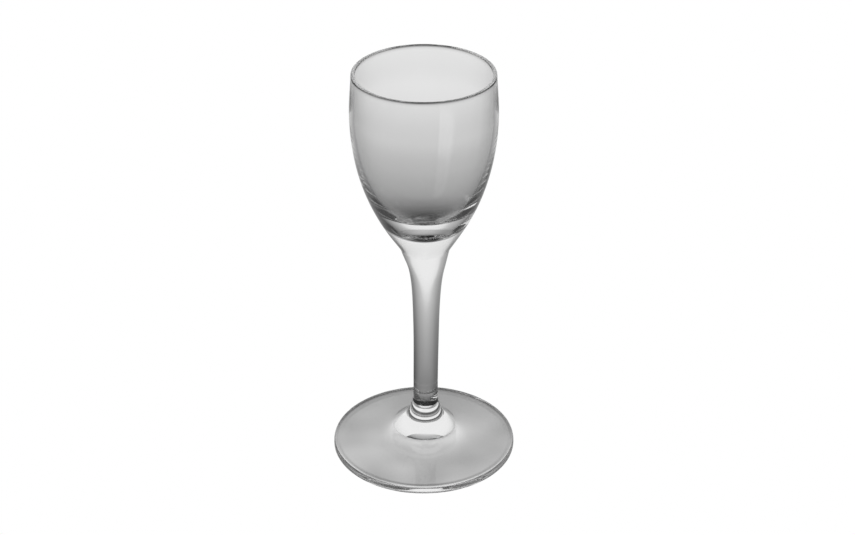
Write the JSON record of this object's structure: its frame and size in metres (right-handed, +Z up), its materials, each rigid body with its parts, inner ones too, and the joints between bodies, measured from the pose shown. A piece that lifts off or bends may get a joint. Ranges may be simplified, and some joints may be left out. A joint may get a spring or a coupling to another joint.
{
  "type": "stemmed vodka glass",
  "caption": "Small stemmed drinking glass: an egg-shaped clear bowl on a flared solid stem, joined by a collar to a coned round foot with a flat rest.",
  "frame": {"origin": "centre of the circle on which the foot rests", "axes": "+Z up along the stem, which is the axis of the whole glass"},
  "size_m": [0.0578, 0.0578, 0.13],
  "materials": {
    "clear_glass": "fire polished"
  },
  "bodies": {
    "root": {"bowl": "clear_glass", "stem": "clear_glass", "collar": "clear_glass", "foot": "clear_glass"}
  },
  "joints": []
}
